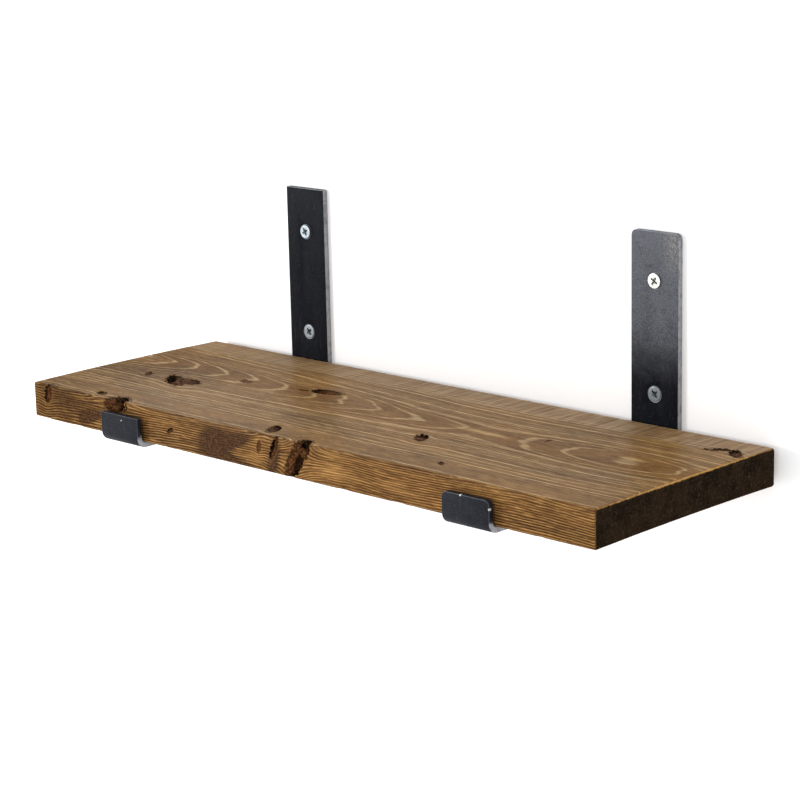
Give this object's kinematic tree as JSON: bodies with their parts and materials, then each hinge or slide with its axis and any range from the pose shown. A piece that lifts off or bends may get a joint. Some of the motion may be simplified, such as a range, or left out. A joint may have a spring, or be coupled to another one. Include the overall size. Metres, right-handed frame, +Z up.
{
  "type": "wall shelf with brackets",
  "caption": "Wall shelf: stained softwood plank resting in J-shaped flat-bar steel brackets with tall wall plates, held by countersunk screws.",
  "frame": {"origin": "centre of the rectangle of the four wall screws, on the plane of the wall (the back faces of the bracket plates)", "axes": "+X along the shelf to the right as seen from the room, +Y into the wall, +Z up"},
  "size_m": [0.54, 0.2424, 0.1625],
  "materials": {
    "stained_wood": "stained and waxed softwood, matt",
    "black_steel": "hot-rolled steel with its black scale, waxed, satin",
    "zinc_steel": "bright zinc plate"
  },
  "bodies": {
    "root": {"shelf_board": "stained_wood", "bracket_left": "black_steel", "bracket_right": "black_steel", "wall_screw_left_upper": "zinc_steel", "wall_screw_left_lower": "zinc_steel", "wall_screw_right_upper": "zinc_steel", "wall_screw_right_lower": "zinc_steel", "board_screw_left_back": "zinc_steel", "board_screw_left_front": "zinc_steel", "board_screw_right_back": "zinc_steel", "board_screw_right_front": "zinc_steel"}
  },
  "joints": []
}
